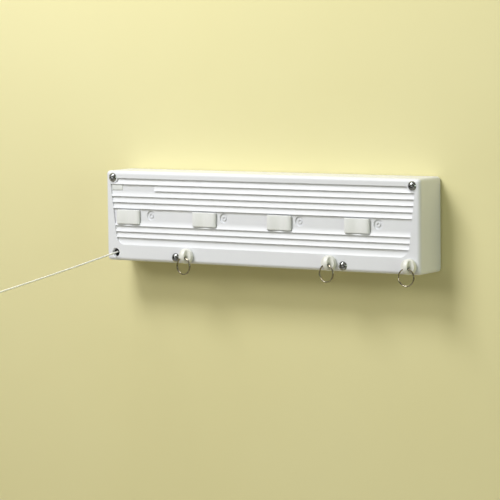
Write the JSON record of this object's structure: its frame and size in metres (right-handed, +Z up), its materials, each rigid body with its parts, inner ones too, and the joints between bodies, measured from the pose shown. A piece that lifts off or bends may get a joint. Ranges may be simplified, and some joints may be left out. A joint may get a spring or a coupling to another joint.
{
  "type": "retractable clothesline",
  "caption": "Flat wall case with ribbed front holding spring reels of line; each line ends in a round stopper with a split ring and has a sliding lock pad.",
  "frame": {"origin": "centre of the four wall-screw holes, on the back face that lies on the wall", "axes": "+X to the right along the wall, +Z up, +Y into the wall; the front faces -Y"},
  "size_m": [0.398, 0.3028, 0.141],
  "materials": {
    "case_plastic": "satin moulded plastic",
    "label": "matt",
    "chrome_screw": "bright plated",
    "zinc_steel": "zinc plated",
    "reel_plastic": "moulded",
    "inner_plastic": "moulded",
    "spring_steel": "blued",
    "line": "twisted plastic-coated line",
    "stopper_plastic": "satin",
    "ring_steel": "bright nickel",
    "pad_plastic": "satin"
  },
  "bodies": {
    "case": {"front_cover": "case_plastic", "back_plate": "case_plastic", "cover_screws": "chrome_screw", "blank_label": "label", "reel_washers": "zinc_steel", "reel_screws": "zinc_steel", "guide_pins": "zinc_steel", "line_1_inside": "line", "line_2_inside": "line", "line_3_inside": "line", "line_4_inside": "line", "reel_1_mainspring": "spring_steel", "reel_2_mainspring": "spring_steel", "reel_3_mainspring": "spring_steel", "reel_4_mainspring": "spring_steel"},
    "reel_1": {"reel_1_spool": "reel_plastic", "reel_1_wound_line": "line", "reel_1_spring_cover": "inner_plastic"},
    "roller_1": {"guide_1_roller": "reel_plastic"},
    "puller_1": {"puller_1_stopper": "stopper_plastic", "line_1_outside": "line"},
    "ring_1": {"puller_1_split_ring": "ring_steel"},
    "lock_1": {"lock_1_thumb_pad": "pad_plastic", "lock_1_brake_slide": "inner_plastic"},
    "reel_2": {"reel_2_spool": "reel_plastic", "reel_2_wound_line": "line", "reel_2_spring_cover": "inner_plastic"},
    "roller_2": {"guide_2_roller": "reel_plastic"},
    "puller_2": {"puller_2_stopper": "stopper_plastic", "line_2_outside": "line"},
    "ring_2": {"puller_2_split_ring": "ring_steel"},
    "lock_2": {"lock_2_thumb_pad": "pad_plastic", "lock_2_brake_slide": "inner_plastic"},
    "reel_3": {"reel_3_spool": "reel_plastic", "reel_3_wound_line": "line", "reel_3_spring_cover": "inner_plastic"},
    "roller_3": {"guide_3_roller": "reel_plastic"},
    "puller_3": {"puller_3_stopper": "stopper_plastic", "line_3_outside": "line"},
    "ring_3": {"puller_3_split_ring": "ring_steel"},
    "lock_3": {"lock_3_thumb_pad": "pad_plastic", "lock_3_brake_slide": "inner_plastic"},
    "reel_4": {"reel_4_spool": "reel_plastic", "reel_4_wound_line": "line", "reel_4_spring_cover": "inner_plastic"},
    "roller_4": {"guide_4_roller": "reel_plastic"},
    "puller_4": {"puller_4_stopper": "stopper_plastic", "line_4_outside": "line"},
    "ring_4": {"puller_4_split_ring": "ring_steel"},
    "lock_4": {"lock_4_thumb_pad": "pad_plastic", "lock_4_brake_slide": "inner_plastic"}
  },
  "joints": [
    {"name": "reel_1_spin", "type": "hinge", "parent": "case", "child": "reel_1", "pos_m": [-0.144, -0.016, 0], "axis": [0, -1, 0], "range_deg": [0, 7668], "stiffness_Nm_per_rad": 0.00025, "springref_deg": -6302.54, "deforming": ["reel_1_mainspring"]},
    {"name": "roller_1_spin", "type": "hinge", "parent": "case", "child": "roller_1", "pos_m": [-0.18409, -0.02093, -0.03243], "axis": [-0.9553, 0, 0.2958], "range_deg": [0, 30300]},
    {"name": "pull_1", "type": "slide", "parent": "case", "child": "puller_1", "axis": [0, -0.9933, -0.1153], "range_m": [0, 3.1723], "deforming": ["line_1_outside"]},
    {"name": "ring_1_swing", "type": "hinge", "parent": "puller_1", "child": "ring_1", "pos_m": [-0.1868, -0.29911, -0.07224], "axis": [1, 0, 0], "range_deg": [-100, 5]},
    {"name": "lock_1_slide", "type": "slide", "parent": "case", "child": "lock_1", "axis": [1, 0, 0], "range_m": [0, 0.005]},
    {"name": "reel_2_spin", "type": "hinge", "parent": "case", "child": "reel_2", "pos_m": [-0.048, -0.016, 0], "axis": [0, -1, 0], "range_deg": [0, 8280], "stiffness_Nm_per_rad": 0.00025, "springref_deg": -6875.49, "deforming": ["reel_2_mainspring"]},
    {"name": "roller_2_spin", "type": "hinge", "parent": "case", "child": "roller_2", "pos_m": [-0.08809, -0.02093, -0.03243], "axis": [-0.9553, 0, 0.2958], "range_deg": [0, 32720]},
    {"name": "pull_2", "type": "slide", "parent": "case", "child": "puller_2", "axis": [0, -1, 0], "range_m": [0, 3.4255], "deforming": ["line_2_outside"]},
    {"name": "ring_2_swing", "type": "hinge", "parent": "puller_2", "child": "ring_2", "pos_m": [-0.0908, -0.0529, -0.0428], "axis": [1, 0, 0], "range_deg": [-100, 5]},
    {"name": "lock_2_slide", "type": "slide", "parent": "case", "child": "lock_2", "axis": [1, 0, 0], "range_m": [-0.005, 0]},
    {"name": "reel_3_spin", "type": "hinge", "parent": "case", "child": "reel_3", "pos_m": [0.048, -0.016, 0], "axis": [0, 1, 0], "range_deg": [0, 8280], "stiffness_Nm_per_rad": 0.00025, "springref_deg": -6875.49, "deforming": ["reel_3_mainspring"]},
    {"name": "roller_3_spin", "type": "hinge", "parent": "case", "child": "roller_3", "pos_m": [0.08809, -0.02093, -0.03243], "axis": [-0.9553, 0, -0.2958], "range_deg": [0, 32720]},
    {"name": "pull_3", "type": "slide", "parent": "case", "child": "puller_3", "axis": [0, -1, 0], "range_m": [0, 3.4255], "deforming": ["line_3_outside"]},
    {"name": "ring_3_swing", "type": "hinge", "parent": "puller_3", "child": "ring_3", "pos_m": [0.0908, -0.0529, -0.0428], "axis": [1, 0, 0], "range_deg": [-100, 5]},
    {"name": "lock_3_slide", "type": "slide", "parent": "case", "child": "lock_3", "axis": [1, 0, 0], "range_m": [-0.005, 0]},
    {"name": "reel_4_spin", "type": "hinge", "parent": "case", "child": "reel_4", "pos_m": [0.144, -0.016, 0], "axis": [0, 1, 0], "range_deg": [0, 8280], "stiffness_Nm_per_rad": 0.00025, "springref_deg": -6875.49, "deforming": ["reel_4_mainspring"]},
    {"name": "roller_4_spin", "type": "hinge", "parent": "case", "child": "roller_4", "pos_m": [0.18409, -0.02093, -0.03243], "axis": [-0.9553, 0, -0.2958], "range_deg": [0, 32720]},
    {"name": "pull_4", "type": "slide", "parent": "case", "child": "puller_4", "axis": [0, -1, 0], "range_m": [0, 3.4255], "deforming": ["line_4_outside"]},
    {"name": "ring_4_swing", "type": "hinge", "parent": "puller_4", "child": "ring_4", "pos_m": [0.1868, -0.0529, -0.0428], "axis": [1, 0, 0], "range_deg": [-100, 5]},
    {"name": "lock_4_slide", "type": "slide", "parent": "case", "child": "lock_4", "axis": [1, 0, 0], "range_m": [-0.005, 0]}
  ],
  "couplings": [
    {"joint": "roller_1_spin", "follows": "reel_1_spin", "ratio": 3.95},
    {"joint": "pull_1", "follows": "reel_1_spin", "m_per_rad": 0.0237},
    {"joint": "roller_2_spin", "follows": "reel_2_spin", "ratio": 3.95},
    {"joint": "pull_2", "follows": "reel_2_spin", "m_per_rad": 0.0237},
    {"joint": "roller_3_spin", "follows": "reel_3_spin", "ratio": 3.95},
    {"joint": "pull_3", "follows": "reel_3_spin", "m_per_rad": 0.0237},
    {"joint": "roller_4_spin", "follows": "reel_4_spin", "ratio": 3.95},
    {"joint": "pull_4", "follows": "reel_4_spin", "m_per_rad": 0.0237}
  ]
}
